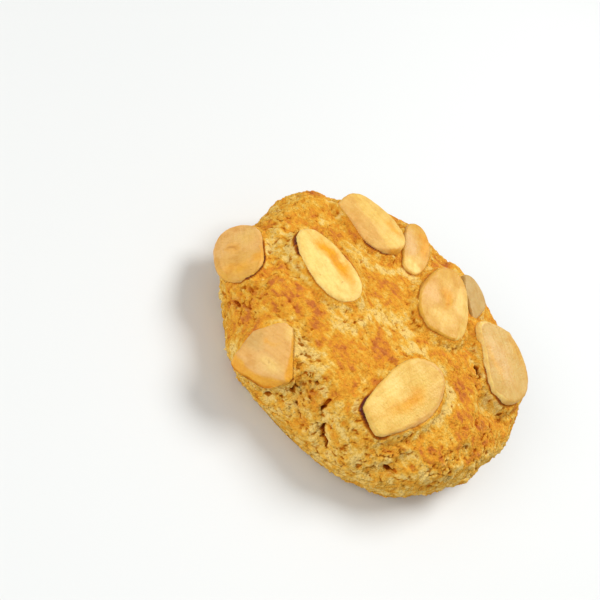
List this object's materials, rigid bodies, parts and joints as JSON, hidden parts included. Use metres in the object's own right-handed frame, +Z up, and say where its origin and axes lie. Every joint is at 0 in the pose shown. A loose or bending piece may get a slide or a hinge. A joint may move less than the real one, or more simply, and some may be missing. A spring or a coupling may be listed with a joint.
{
  "type": "almond shortbread biscuit",
  "caption": "Thick round crumbly biscuit, domed and cracked on top with a flat base, topped with toasted almond slices pressed into the crust; food to eat by hand",
  "frame": {"origin": "The centre of the flat base that the biscuit rests on.", "axes": "+Z is up through the domed top, and -Y is the side that the picture shows nearest."},
  "size_m": [0.0717, 0.0703, 0.0236],
  "materials": {
    "baked_dough": "matte, sandy and browned in patches",
    "toasted_almond": "smooth, satin, toasted in the middle"
  },
  "bodies": {
    "root": {"dough": "baked_dough", "almond_long": "toasted_almond", "almond_front": "toasted_almond", "almond_centre": "toasted_almond", "almond_tucked": "toasted_almond", "almond_left_rim": "toasted_almond", "almond_front_rim": "toasted_almond", "almond_right_rim": "toasted_almond", "almond_back_left": "toasted_almond", "almond_back": "toasted_almond"}
  },
  "joints": []
}
